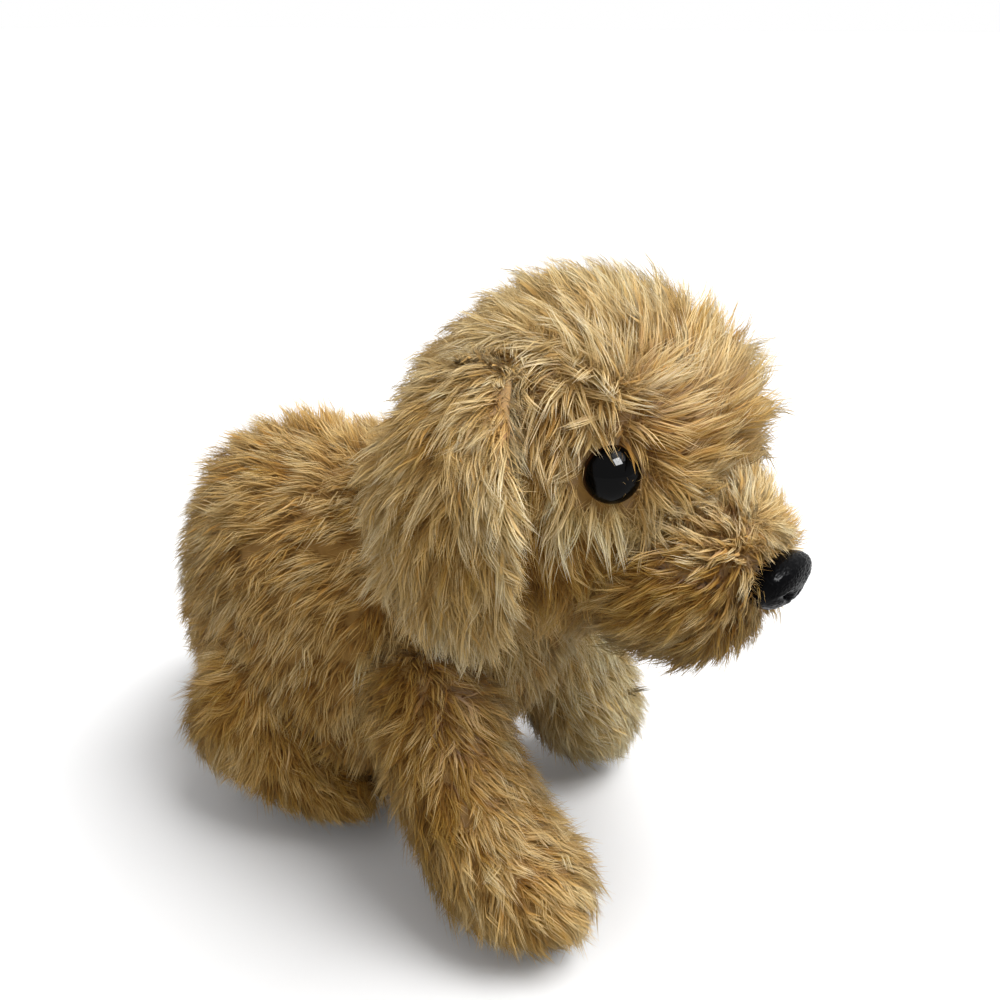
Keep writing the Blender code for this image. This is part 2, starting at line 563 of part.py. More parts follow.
for hand, word in ((1, "left"), (-1, "right")):
    shoulder = Vector((body_x(SHOULDER_ALONG), SHOULDER_SIDE * BODY_WIDTH / 2, SHOULDER_HEIGHT))
    stride = FRONT_REACH - hand * FRONT_STEP
    path = tuple((shoulder.x + f * stride, hand * (shoulder.y + d * FRONT_SPREAD / FRONT_DOWN[-1]),
                  shoulder.z * (1 - d)) for f, d in zip(FRONT_FORWARD, FRONT_DOWN))
    girth = shares(FRONT_ROUND, FRONT_WIDTH / 2)
    leg(f"{word}_front_leg", path, girth, girth, FRONT_FULLNESS, FRONT_SEAM, FRONT_RANGE)
    hip = Vector((body_x(HIP_ALONG), HIP_SIDE * BODY_WIDTH / 2, HIP_HEIGHT))
    path = tuple((hip.x + f * HIND_REACH, hand * (hip.y + f * HIND_SPREAD), hip.z * (1 - d))
                 for f, d in zip(HIND_FORWARD, HIND_DOWN))
    leg(f"{word}_hind_leg", path, shares(HIND_WIDE, HIND_WIDTH / 2), shares(HIND_TALL, HIND_WIDTH / 2),
        HIND_FULLNESS, HIND_SEAM, HIND_RANGE)

# Tail
tail_root = Vector((body_x(TAIL_ALONG), 0, TAIL_HEIGHT * BODY_HEIGHT))
tail_spine = tuple(tuple(tail_root + Vector(p) * TAIL_LENGTH) for p in TAIL_PATH)
tail_girth = shares(TAIL_ROUND, TAIL_WIDTH / 2)
tail_shape = (tail_spine, tail_girth, tail_girth, TAIL_FULLNESS)
tail_form = stuffed("tail_form", *tail_shape, TAIL_COUNTS, side=(0, 0, 1))
tail_core = stuffed("tail_core", *tail_shape, FILL_COUNTS, inset=TAIL_PILE, side=(0, 0, 1))
tail_fill = stuffed("tail_fill", *tail_shape, FILL_COUNTS, inset=TAIL_PILE + FILL_GAP, side=(0, 0, 1))
tail_pivot = Vector(tail_spine[0]) * MM
tail_sweep = swept("tail_sweep", torso_clear, turned_back(tail_pivot, Vector((0, 0, 1)), TAIL_RANGE))
piece("tail_cover", tail_form, GOLDEN, (), (tail_core, floor, tail_sweep))
piece("tail_stuffing", tail_fill, FIBRE, (), (tail_sweep,))
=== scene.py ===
import math

import bpy
import numpy as np
from mathutils import Matrix, Vector
from mathutils.bvhtree import BVHTree


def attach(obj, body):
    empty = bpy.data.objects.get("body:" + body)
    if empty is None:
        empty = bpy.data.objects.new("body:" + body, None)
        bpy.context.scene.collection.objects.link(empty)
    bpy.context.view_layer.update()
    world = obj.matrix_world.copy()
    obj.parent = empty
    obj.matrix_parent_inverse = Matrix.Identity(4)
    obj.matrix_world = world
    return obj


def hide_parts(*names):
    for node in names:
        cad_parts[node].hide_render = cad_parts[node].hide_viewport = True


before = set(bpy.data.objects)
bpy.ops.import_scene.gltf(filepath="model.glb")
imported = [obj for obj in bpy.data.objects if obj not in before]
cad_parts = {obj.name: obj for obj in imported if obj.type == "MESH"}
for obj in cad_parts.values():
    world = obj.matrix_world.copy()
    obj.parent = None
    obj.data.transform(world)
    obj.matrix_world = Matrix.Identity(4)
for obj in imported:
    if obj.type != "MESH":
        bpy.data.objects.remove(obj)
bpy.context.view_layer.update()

# Torso: a long-pile plush body of two side panels and a belly panel, sewn inside out, turned and
# stuffed with fibre over a bag of pellets. The backing is knitted; the pile is brushed into locks
# that fall back from the neck and down the flanks.
MM = 0.001
PILE = 7.5
dice = np.random.default_rng(11)


def smooth(values, places, at):
    """Smooth curve through values at rising places.

    Each step is a cubic that starts and ends with the slopes it shares with its neighbours.
    """
    values = np.asarray(values, float)
    slope = np.gradient(values, places, axis=0)
    left = np.clip(np.searchsorted(places, at, side="right") - 1, 0, len(places) - 2)
    step = places[left + 1] - places[left]
    u = (at - places[left]) / step
    if values.ndim > 1:
        u = u[:, None]
        step = step[:, None]
    start = values[left] * (2 * u ** 3 - 3 * u ** 2 + 1) + slope[left] * step * (u ** 3 - 2 * u ** 2 + u)
    end = values[left + 1] * (3 * u ** 2 - 2 * u ** 3) + slope[left + 1] * step * (u ** 3 - u ** 2)
    return start + end


def unit(vectors):
    """Vectors divided by their own lengths."""
    return vectors / np.maximum(np.linalg.norm(vectors, axis=-1, keepdims=True), 1e-9)


def ease(value, low, high):
    """Smooth step from 0 at low to 1 at high."""
    u = np.clip((value - low) / (high - low), 0, 1)
    return u * u * (3 - 2 * u)


def stuffed(spine, wide, tall, fullness, side=(0, 1, 0), place=Matrix()):
    """Surface of a stuffed form as a function of two parameters, along (0 to 1) and round (in turns).

    The place along the spine runs as a half cosine of the eased first parameter, and an oval is
    carried there whose half width and half height swell by a sine raised to the fullness.
    """
    spine = np.asarray(spine, float)
    run = np.concatenate(([0.0], np.cumsum(np.linalg.norm(np.diff(spine, axis=0), axis=1))))
    turn_in = np.array(place.to_3x3())
    shift = np.array(place.translation)

    def surface(along, round_, inset=PILE):
        """Points in millimetres at the two parameters, on the form set in by the inset."""
        shape = np.broadcast(along, round_).shape
        along = np.clip(np.broadcast_to(along, shape).ravel(), 0, 1)
        turn = 2 * np.pi * np.broadcast_to(round_, shape).ravel()
        polar = np.pi * along ** 2 * (3 - 2 * along)
        at = inset + (run[-1] - 2 * inset) * (1 - np.cos(polar)) / 2
        inside = np.clip(at, 0, run[-1])
        behind = smooth(spine, run, np.maximum(inside - 1, 0))
        ahead = unit(smooth(spine, run, np.minimum(inside + 1, run[-1])) - behind)
        centre = smooth(spine, run, inside) + ahead * (at - inside)[:, None]
        across = unit(np.asarray(side, float) - ahead * (ahead @ np.asarray(side, float))[:, None])
        up = np.cross(ahead, across)
        swell = np.sin(polar) ** fullness
        width = (smooth(wide, run, inside) - inset) * swell * np.cos(turn)
        height = (smooth(tall, run, inside) - inset) * swell * np.sin(turn)
        points = centre + across * width[:, None] + up * height[:, None]
        return (points @ turn_in.T + shift).reshape(*shape, 3)

    return surface


def mesh_object(name, points, faces, material):
    """Smooth-shaded mesh from an array of points in millimetres and an array of triangles."""
    mesh = bpy.data.meshes.new(name)
    mesh.vertices.add(len(points))
    mesh.vertices.foreach_set("co", np.ascontiguousarray(points * MM, dtype=np.float32).ravel())
    mesh.loops.add(faces.size)
    mesh.loops.foreach_set("vertex_index", np.ascontiguousarray(faces, dtype=np.int32).ravel())
    mesh.polygons.add(len(faces))
    mesh.polygons.foreach_set("loop_start", np.arange(0, faces.size, 3, dtype=np.int32))
    mesh.update(calc_edges=True)
    mesh.validate()
    mesh.shade_smooth()
    mesh.materials.append(material)
    made = bpy.data.objects.new(name, mesh)
    bpy.context.scene.collection.objects.link(made)
    return made


def closed_grid(name, points, material):
    """Closed mesh from rows of rings: quads cut in two, and a fan to the middle of each end ring."""
    rows, columns = points.shape[:2]
    here = np.arange(rows * columns).reshape(rows, columns)
    beside = np.roll(here, -1, axis=1)
    lower = np.stack((here[:-1], beside[:-1], beside[1:]), -1).reshape(-1, 3)
    upper = np.stack((here[:-1], beside[1:], here[1:]), -1).reshape(-1, 3)
    first = np.stack((beside[0], here[0], np.full(columns, rows * columns)), -1)
    last = np.stack((here[-1], beside[-1], np.full(columns, rows * columns + 1)), -1)
    faces = np.concatenate((lower, upper, first, last))
    flat = np.concatenate((points.reshape(-1, 3), points[0].mean(0)[None], points[-1].mean(0)[None]))
    volume = np.einsum("ij,ij->", flat[faces[:, 0]], np.cross(flat[faces[:, 1]], flat[faces[:, 2]]))
    return mesh_object(name, flat, faces if volume > 0 else faces[:, ::-1], material)


def backing(name, surface, body, replaced, inset=PILE, rows=30, columns=30):
    """Stuffed body under the pile: the surface set in by the pile's height, on a grid of rings."""
    along = np.linspace(0.02, 0.98, rows)[:, None]
    round_ = np.arange(columns)[None] / columns
    made = closed_grid(name, surface(along, round_, inset), knit)
    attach(made, body)
    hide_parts(*replaced)
    return made


def ripple(points, size, seed):
    """Smooth random field between about -1 and 1.

    It is a sum of sines along random directions, with wavelengths near the given size.
    """
    mix = np.random.default_rng(seed)
    waves = unit(mix.normal(size=(6, 3))) * 2 * np.pi / (size * mix.uniform(0.7, 1.5, (6, 1)))
    return np.sin(points @ waves.T + mix.uniform(0, 6.3, 6)).sum(-1) / 2.6


def clear_of(points, reach, *nodes):
    """Which points lie outside the named solids by more than the reach.

    A point is inside where a ray from it crosses the solid's faces an odd number of times.
    """
    free = np.ones(len(points), bool)
    ray = Vector((0.36, 0.48, 0.80))
    for node in nodes:
        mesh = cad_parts[node].data
        tree = BVHTree.FromPolygons([v.co for v in mesh.vertices], [p.vertices for p in mesh.polygons])
        for i in np.flatnonzero(free):
            spot = Vector(points[i] * MM)
            crossed = tree.find_nearest(spot)[3] > reach * MM
            hit = tree.ray_cast(spot, ray)[0] if crossed else None
            while hit is not None:
                crossed = not crossed
                hit = tree.ray_cast(hit + ray * 1e-6, ray)[0]
            free[i] = crossed
    return free


def locks(surface, count, inset=PILE):
    """Roots of locks spread evenly by area: the places, outward normals and both derivatives there."""
    cells = 90
    edge = np.linspace(0.012, 0.988, cells + 1)
    ring = np.linspace(0, 1, cells + 1)
    grid = surface(edge[:, None], ring[None], inset)
    one = grid[1:, 1:] - grid[:-1, :-1]
    two = grid[1:, :-1] - grid[:-1, 1:]
    total = np.cumsum(np.linalg.norm(np.cross(one, two), axis=-1).ravel())
    cell = np.searchsorted(total, (np.arange(count) + dice.random(count)) * total[-1] / count)
    along = edge[cell // cells] + dice.random(count) * (edge[1] - edge[0])
    round_ = (cell % cells + dice.random(count)) / cells
    step = 0.004
    d_along = (surface(along + step, round_, inset) - surface(along - step, round_, inset)) / (2 * step)
    d_round = (surface(along, round_ + step, inset) - surface(along, round_ - step, inset)) / (2 * step)
    root = surface(along, round_, inset)
    normal = unit(np.cross(d_along, d_round))
    middle = surface(np.full(1, 0.5), np.zeros(1), inset) + surface(np.full(1, 0.5), np.full(1, 0.5), inset)
    sign = np.sign(np.einsum("ij,ij->i", normal, root - middle / 2).sum())
    return dict(surface=surface, inset=inset, along=along, round=round_, root=root, normal=normal * sign,
                d_along=d_along, d_round=d_round)


def chosen(spots, mask):
    """The locks that a mask keeps."""
    return {k: v[mask] if isinstance(v, np.ndarray) else v for k, v in spots.items()}


def parting(root, flow):
    """How far the flow turns round each root, from 0 where it runs straight to 1 at a parting.

    It is one less the eased length of the mean direction of the flows near the root.
    """
    square = np.sum(root ** 2, 1)
    near = np.exp((2 * root @ root.T - square[:, None] - square) / 80)
    mean = near @ unit(flow) / near.sum(1, keepdims=True)
    return 1 - ease(np.linalg.norm(mean, axis=1), 0.45, 0.96)


def pile(name, spots, flow, tone, body, node, strands=10, fill=24, cores=2, length=14.0, spread=2.2,
         rise=60.0, fall=6.0, pinch=0.5, stray=12.0, bend=0.2, thick=0.125, bends=3):
    """Pile of one panel: locks of closed hairs that taper to a point, over short straight and stout ones.

    Each lock leaves its root at the rise angle and leans over to the fall angle, along the flow laid in
    the surface; its hairs start spread round the root and draw together by the pinch towards the tip.
    Where the flow parts, each root carries two locks and they fan out. Angles are in degrees.
    """
    turned = parting(spots["root"], flow)
    twice = np.concatenate((np.arange(len(turned)), np.flatnonzero(turned > 0.35)))
    flow, tone, length, rise, fall, pinch = (np.broadcast_to(v, (len(turned), *np.shape(v)[1:]))[twice]
                                             for v in (flow, tone, length, rise, fall, pinch))
    spots, turned = chosen(spots, twice), turned[twice]
    normal = spots["normal"]
    count = len(normal)
    lay = unit(flow - normal * np.einsum("ij,ij->i", flow, normal)[:, None])
    across = np.cross(normal, lay)
    swing = dice.normal(0, 1, count) * (stray + 32 * turned) + 14 * ripple(spots["root"], 24, 5)
    swing = np.radians(swing)[:, None]
    lay, across = lay * np.cos(swing) + across * np.sin(swing), across * np.cos(swing) - lay * np.sin(swing)
    reach = length * dice.uniform(0.76, 1.18, count)
    start = np.radians(rise + dice.normal(0, 9, count) + 7 * ripple(spots["root"], 18, 7))
    end = np.radians(fall + 16 * turned + dice.normal(0, 10, count))
    curve = dice.normal(0, 1, count) * bend
    middle = np.zeros((count, bends + 1, 3))
    for k in range(bends):
        share = (k + 0.5) / bends
        angle = (start + (end - start) * share)[:, None]
        step = normal * np.sin(angle) + lay * np.cos(angle) + across * (curve * (2 * share - 0.4))[:, None]
        middle[:, k + 1] = middle[:, k] + unit(step) * (reach / bends)[:, None]
    fan = np.radians(dice.normal(0, 1, (count, fill, 1)) * (30 + 130 * turned)[:, None, None])
    lift = (0.8 * start)[:, None, None] + np.radians(dice.normal(0, 14, (count, fill, 1)))
    fanned = lay[:, None] * np.cos(fan) + across[:, None] * np.sin(fan)
    short = fanned * np.cos(lift) + normal[:, None] * np.sin(lift)
    short = short * (0.70 * reach)[:, None, None]
    shade = tone + dice.normal(0, 0.14, count) + 0.11 * ripple(spots["root"], 15, 9)
    sunk = middle - 1.4 * normal[:, None] * (np.arange(bends + 1) / bends)[:, None]
    # Each kind of hair: its course, how many to a lock, its share of the length, of the thickness and of the
    # pinch, how many fly loose, and its place in the colours at root and tip. Roots low in the colours are
    # painted shade, the locks' pale tips are painted highlight, and the short straight and stout hairs end
    # darker as painted shade under the locks.
    curved = (middle[:, None], strands, 1.0, 1.0, 1.0, 0.09, 0.30, 0.99)
    straight = (np.stack((0 * short, short), 2), fill, 1.0, 1.0, -0.3, 0.0, 0.08, 0.62)
    core = (sunk[:, None], cores, 0.8, 3.4, 0.6, 0.0, 0.08, 0.55)
    sets = []
    for course, each, full, stout, drawn, loose, low, top in (curved, straight, core):
        size = (count, each)
        share = np.linspace(0, 1, course.shape[2])
        wide = spread * np.sqrt(dice.random(size))[..., None]
        about = 2 * np.pi * dice.random(size)[..., None]
        off = wide * (np.cos(about) * lay[:, None] + np.sin(about) * across[:, None])
        fly = dice.random(size) < loose
        trim = full * dice.uniform(0.62, 1.08, size) * np.where(fly, 1.1, 1)
        pull = np.where(fly, -0.4, drawn * pinch[:, None] * dice.uniform(0.75, 1.2, size))
        path = (rooted(spots, off) - 0.4 * normal[:, None])[:, :, None] + course * trim[..., None, None]
        path -= off[:, :, None] * (pull[..., None] * share ** 1.25)[..., None]
        path += dice.normal(0, 0.4, (*size, 1, 3)) * (share ** 1.6)[:, None]
        path[..., 2] = np.maximum(path[..., 2], 0.3)
        girth = thick * stout * dice.uniform(0.7, 1.25, (*size, 1)) * np.where(fly, 0.6, 1)[..., None]
        girth = girth * (1 - 0.4 * share[:-1] ** 2)
        tint = np.clip(shade[:, None] + dice.normal(0, 0.04, size), 0.03, 0.97)
        outward = (normal[:, None] + 0.6 * off / spread).reshape(-1, 3)
        steps = len(share)
        path, girth = path.reshape(-1, steps, 3), girth.reshape(-1, steps - 1)
        sets.append(hairs(path, girth, outward, tint.ravel(), low, top))
    points, faces, strips, facing = zip(*sets)
    first = np.cumsum([0] + [len(p) for p in points])
    faces = np.concatenate([f + start_at for f, start_at in zip(faces, first)])
    made = mesh_object(name, np.concatenate(points), faces, golden_pile)
    made.data.normals_split_custom_set_from_vertices(np.concatenate(facing))
    strip = np.concatenate(strips).astype(np.float32).ravel()
    for layer in ("pile", "OFBake"):
        made.data.uv_layers.new(name=layer).data.foreach_set("uv", strip)
    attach(made, body)
    if node:
        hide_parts(node)
    return made


def rooted(spots, off):
    """Places on the surface a small offset from each root, solved for in both derivatives."""
    first, second = spots["d_along"], spots["d_round"]
    pairs = ((first, first), (first, second), (second, second))
    e, f, g = (np.einsum("ij,ij->i", a, b)[:, None] for a, b in pairs)
    p = np.einsum("ijk,ik->ij", off, first)
    q = np.einsum("ijk,ik->ij", off, second)
    area = np.maximum(e * g - f * f, 1e-6)
    along = spots["along"][:, None] + np.clip((g * p - f * q) / area, -0.05, 0.05)
    round_ = spots["round"][:, None] + np.clip((e * q - f * p) / area, -0.08, 0.08)
    return spots["surface"](along, round_, spots["inset"])


def hairs(path, girth, outward, shade, low, top):
    """Closed hairs: a three-cornered section carried along the path, one side out, to a point at its end.

    The map lays a hair as a narrow upright strip: its shade across, root to tip upwards.
    """
    last = path.shape[1] - 1
    ahead = unit(np.diff(path, axis=1))
    aside = unit(np.cross(outward[:, None] + np.array([0.02, 0.03, 0.05]), ahead))
    above = np.cross(ahead, aside)
    ring = np.stack((aside + 0.58 * above, -aside + 0.58 * above, -0.8 * above), 2)
    ring = path[:, :last, None] + ring * girth[..., None, None]
    points = np.concatenate((ring.reshape(len(path), -1, 3), path[:, last:]), 1)
    here = np.arange(3 * last - 3).reshape(-1, 3)
    beside = np.roll(here, -1, axis=1)
    one = np.stack((here, beside, beside + 3), -1).reshape(-1, 3)
    two = np.stack((here, beside + 3, here + 3), -1).reshape(-1, 3)
    tip = 3 * last
    ends = np.array([(tip - 3, tip - 2, tip), (tip - 2, tip - 1, tip), (tip - 1, tip - 3, tip), (0, 2, 1)])
    pattern = np.concatenate((one, two, ends))
    faces = (np.arange(len(path))[:, None, None] * (tip + 1) + pattern).reshape(-1, 3)
    corner = np.tile(pattern.ravel(), len(path))
    column = np.repeat(shade, pattern.size) + np.where(corner == tip, 1, corner % 3) * 0.004
    strip = np.stack((column, low + (top - low) * (corner // 3) / last), -1)
    return points.reshape(-1, 3), faces, strip, np.repeat(unit(outward), tip + 1, axis=0)


def pile_material():
    """Plush pile, from brown hairs to cream ones, each dark at the root as painted shade and pale at the tip
    as painted highlight.
    """
    made = bpy.data.materials.new("golden_pile")
    made.use_nodes = True
    nodes, links = made.node_tree.nodes, made.node_tree.links
    shader = nodes["Principled BSDF"]
    where = nodes.new("ShaderNodeUVMap")
    where.uv_map = "pile"
    apart = nodes.new("ShaderNodeSeparateXYZ")
    links.new(where.outputs["UV"], apart.inputs[0])
    mix = nodes.new("ShaderNodeMix")
    mix.data_type = "RGBA"
    links.new(apart.outputs["X"], mix.inputs["Factor"])
    # Each ramp runs from a dark root, painted shade deep in the pile, to a pale tip, painted highlight on the
    # locks.
    root_to_tip = (0.0, 0.35, 0.72, 1.0)
    brown = ((0.18, 0.060, 0.006), (0.49, 0.205, 0.020), (0.71, 0.37, 0.052), (0.88, 0.57, 0.15))
    cream = ((0.42, 0.22, 0.05), (0.78, 0.55, 0.21), (0.95, 0.82, 0.48), (1.0, 0.96, 0.78))
    for colours, name in ((brown, "A"), (cream, "B")):
        ramp = nodes.new("ShaderNodeValToRGB")
        while len(ramp.color_ramp.elements) < len(colours):
            ramp.color_ramp.elements.new(0.5)
        for element, place, colour in zip(ramp.color_ramp.elements, root_to_tip, colours):
            element.position = place
            element.color = (*colour, 1)
        links.new(apart.outputs["Y"], ramp.inputs["Fac"])
        into = [s for s in mix.inputs if s.name == name and s.type == "RGBA"][0]
        links.new(ramp.outputs["Color"], into)
    depth = nodes.new("ShaderNodeMapRange")
    depth.inputs["From Max"].default_value = 0.25
    depth.inputs["To Min"].default_value = 0.62
    links.new(apart.outputs["X"], depth.inputs["Value"])
    deepen = nodes.new("ShaderNodeVectorMath")
    deepen.operation = "SCALE"
    links.new([s for s in mix.outputs if s.type == "RGBA"][0], deepen.inputs[0])
    links.new(depth.outputs["Result"], deepen.inputs["Scale"])
    links.new(deepen.outputs["Vector"], shader.inputs["Base Color"])
    shader.inputs["Roughness"].default_value = 0.45
    shader.inputs["Specular IOR Level"].default_value = 0.09
    shader.inputs["Sheen Weight"].default_value = 0.35
    shader.inputs["Sheen Roughness"].default_value = 0.5
    shader.inputs["Sheen Tint"].default_value = (1.0, 0.80, 0.45, 1)
    return made


def knit_material():
    """Knitted backing with the roots of the pile in it: fine mottling in two browns, darker than the pile as
    painted shade in the gaps between locks.
    """
    made = bpy.data.materials.new("knit_backing")
    made.use_nodes = True
    nodes, links = made.node_tree.nodes, made.node_tree.links
    shader = nodes["Principled BSDF"]
    where = nodes.new("ShaderNodeTexCoord")
    wave = nodes.new("ShaderNodeTexNoise")
    wave.inputs["Scale"].default_value = 420
    wave.inputs["Detail"].default_value = 3
    links.new(where.outputs["Object"], wave.inputs["Vector"])
    ramp = nodes.new("ShaderNodeValToRGB")
    # Both browns are painted shade: darker than the pile, for the gaps between locks.
    ramp.color_ramp.elements[0].color = (0.30, 0.15, 0.03, 1)
    ramp.color_ramp.elements[1].color = (0.48, 0.27, 0.07, 1)
    links.new(wave.outputs["Fac"], ramp.inputs["Fac"])
    links.new(ramp.outputs["Color"], shader.inputs["Base Color"])
    shader.inputs["Roughness"].default_value = 0.9
    return made


golden_pile = pile_material()
knit = knit_material()
KNIT_DEPTH = 4.9
ROOT_DEPTH = 4.5
HALF_TORSO_WIDTH = 53
HALF_TORSO_HEIGHT = 65
SEAM_HEIGHT = 30
SEAM_TILT = math.radians(8)
torso_spine = ((-58.8, 0, 55.25), (-33.81, 0, 58.76), (0, 0, 65.52), (39.69, 0, 78.65), (88.2, 0, 83.85))
torso_wide = np.array((0.74, 0.80, 0.92, 0.94, 0.91)) * HALF_TORSO_WIDTH
torso_tall = np.array((0.99, 1.08, 1.063, 0.874, 0.77)) * HALF_TORSO_HEIGHT
torso = stuffed(torso_spine, torso_wide, torso_tall, 0.72)
backing("torso_body", torso, "torso", ("torso_stuffing",), KNIT_DEPTH)
spots = locks(torso, 1780, ROOT_DEPTH)
above_pile = spots["root"] + spots["normal"] * 5
keep = clear_of(above_pile, 2.5, "head_stuffing", "left_front_leg_stuffing", "right_front_leg_stuffing")
keep &= clear_of(above_pile, 1.5, "left_hind_leg_stuffing", "right_hind_leg_stuffing", "tail_stuffing",
                 "neck_stuffing")
spots = chosen(spots, keep & (above_pile[:, 2] > 1.5))
x, y, z = spots["root"].T
under_seam = z + x * math.tan(SEAM_TILT) < SEAM_HEIGHT
back = ease(z, 84, 110)
tone = 0.32 + 0.04 * back - 0.06 * ease(x, -20, 30) + 0.36 * ease(x, 60, 80)
reach = 10.8 * (0.6 + 0.4 * ease(z, 6, 26)) + 3.0 * back
flow = np.stack((-0.14 - 0.26 * back, 0 * x, -0.95 + 0 * x), -1)
left_side, right_side = ~under_seam & (y >= 0), ~under_seam & (y < 0)
for name, mask, node, slot in (("torso_left_pile", left_side, "torso_left_panel", "golden_plush"),
                               ("torso_right_pile", right_side, "torso_right_panel", "golden_plush"),
                               ("belly_pile", under_seam, "belly_panel", "cream_plush")):
    pile(name, chosen(spots, mask), flow[mask], tone[mask], "torso", node, length=reach[mask],
         rise=64 + 8 * back[mask], fall=20, pinch=0.2, stray=16, fill=26, bends=2, bend=0.3, spread=3.0)

# Neck: a firm wad of fibre that carries the head, under a band of the same plush as the torso. The
# band is sewn in between torso and head, so its pile bridges the two.
neck = np.array((39.69, 0, 81.9))
neck_spine = [neck + (8, 0, 14), neck + (20, 0, 35), neck + (30, 0, 52)]
neck_girth = (44, 42, 36)
neck_form = stuffed(neck_spine, neck_girth, neck_girth, 0.6)
backing("neck_body", neck_form, "neck", ("neck_stuffing",))
spots = locks(neck_form, 520)
above_pile = spots["root"] + spots["normal"] * 5
keep = clear_of(above_pile, 1.0, "torso_stuffing")
open_place = clear_of(above_pile, 1.0, "head_stuffing")
neck_nape = chosen(spots, keep & ~open_place)
spots = chosen(spots, keep & open_place)
x, y, z = spots["root"].T
flow = np.stack((-0.35 + 0 * x, 0.2 * np.sign(y), -0.9 + 0 * x), -1)
pile("neck_pile", spots, flow, 0.26 + 0 * x, "neck", None, strands=8, fill=20, length=12.0,
     spread=2.8, rise=60, fall=14, bends=2, bend=0.3)

# Head: two cheek panels, a gusset from nose to nape and a throat panel of plush, sewn and firmly
# stuffed. The pile springs from the middle of the forehead, back over the crown and down the cheeks,
# and is trimmed short round the eyes and where the ears are let in.
HALF_HEAD_WIDTH = 55
HALF_HEAD_HEIGHT = 54.5
HEAD_LENGTH = 106
HALF_MUZZLE_WIDTH = 35
HALF_MUZZLE_HEIGHT = 31
EYE_AT = (34, 39, 15)
HEAD_TURNED = math.radians(-6)
HEAD_TILTED = math.radians(9)
NECK_REACH = 50.05
neck_axis = Vector((0.5, 0, 0.866025))
turn_rest = Matrix.Translation(neck) @ Matrix.Rotation(HEAD_TURNED, 4, neck_axis)
turn_rest = turn_rest @ Matrix.Translation(-Vector(neck))
skull = Vector(neck) + Vector((0.98, 0, 1.16)) * NECK_REACH
head_at = turn_rest @ Matrix.Translation(skull) @ Matrix.Rotation(HEAD_TILTED, 4, "Y")
head_turn = np.array(head_at.to_3x3())
head_shift = np.array(head_at.translation)


def in_head(points):
    """World places as the head's own forward, left and up."""
    return (points - head_shift) @ head_turn


def from_head(vectors):
    """Directions in the head's own forward, left and up, as world directions."""
    return np.asarray(vectors, float) @ head_turn.T


round_share = np.array((0.72, 0.88, 1.0, 0.94, 0.80))
head_along = np.array((-0.49, -0.23, 0.04, 0.28, 0.51)) * HEAD_LENGTH
head_rise = np.array((-0.12, -0.07, -0.01, 0.01, -0.01)) * 2 * HALF_HEAD_HEIGHT
head_spine = np.stack((head_along, 0 * head_along, head_rise), -1)
head = stuffed(head_spine, round_share * HALF_HEAD_WIDTH, round_share * HALF_HEAD_HEIGHT, 0.62, place=head_at)
backing("head_body", head, "head", ("head_stuffing",))
spots = locks(head, 1750)
above_pile = spots["root"] + spots["normal"] * 5
keep = clear_of(spots["root"], 0.5, "muzzle_stuffing")
keep &= clear_of(spots["root"], 0.9, "left_eye", "right_eye")
open_place = clear_of(above_pile, 2.0, "torso_stuffing", "neck_stuffing")
head_nape = chosen(spots, keep & ~open_place)
spots = chosen(spots, keep & open_place)
own = in_head(spots["root"])
x, y, z = own.T
side_on = np.abs(y)
# Zones of the head, each from 0 to 1, in its own forward, left and up.
brow = ease(side_on, 16, 38) * ease(x, -45, -10) * (1 - ease(z, 26, 50))
cheek = ease(side_on, 20, 30) * ease(x, 0, 14) * (1 - ease(z, 10, 22)) * ease(z, -6, 4)
crest = ease(x, 14, 32) * ease(z, 6, 22) * (1 - ease(side_on, 24, 38))
nape = ease(-x, 0, 25)
jowl = 1 - ease(z, -14, 2)
off_muzzle = np.hypot(y / HALF_MUZZLE_WIDTH, (z + 15) / HALF_MUZZLE_HEIGHT)
stop = (1 - ease(off_muzzle, 1.0, 1.3)) * ease(x, 15, 30)
# The lie: away from the middle of the forehead, hanging down the cheeks, with a curl on the crown, and
# turned away from each eye.
away = unit(own - np.array((62.0, -3.0, 4.0)))
hang = np.stack((0.55 - 0.25 * cheek, 0 * x, -0.75 - 0.25 * cheek), -1)
weight = np.maximum(brow, cheek)[:, None]
front = (ease(x, 20, 34) * ease(z, 0, 10) * ease(side_on, 8, 16) * (1 - ease(side_on, 30, 38)))[:, None]
away = away * (1 - front) + np.stack((0.60 + 0 * x, -0.40 * np.sign(y), 0.55 + 0 * x), -1) * front
flow = away * (1 - weight) + hang * weight + np.stack((0 * x, 0 * x, -0.15 - 0.6 * jowl), -1)
curl_at = own - np.array((20.0, -27.0, 41.0))
curl = np.exp(-np.sum(curl_at ** 2, 1) / 90)[:, None]
flow = from_head(unit(flow) + 1.6 * curl * np.cross(own / 50, unit(curl_at)))
eye_off = own - np.stack((EYE_AT[0] + 0 * x, np.where(y > 0, 1, -1) * EYE_AT[1], EYE_AT[2] + 0 * x), -1)
eye_near = np.exp(-np.sum(eye_off ** 2, 1) / 150)
fringe = ease(eye_off[:, 2] - eye_off[:, 0], 2, 16)
flow = unit(flow) + from_head(unit(eye_off)) * (eye_near * (1 - 0.5 * fringe))[:, None]
# The tone is lowered as painted shade under the jaw (jowl) and in the stop where the muzzle meets the head.
tone = 0.56 - 0.18 * crest + 0.42 * cheek - 0.14 * nape - 0.26 * jowl - 0.22 * stop
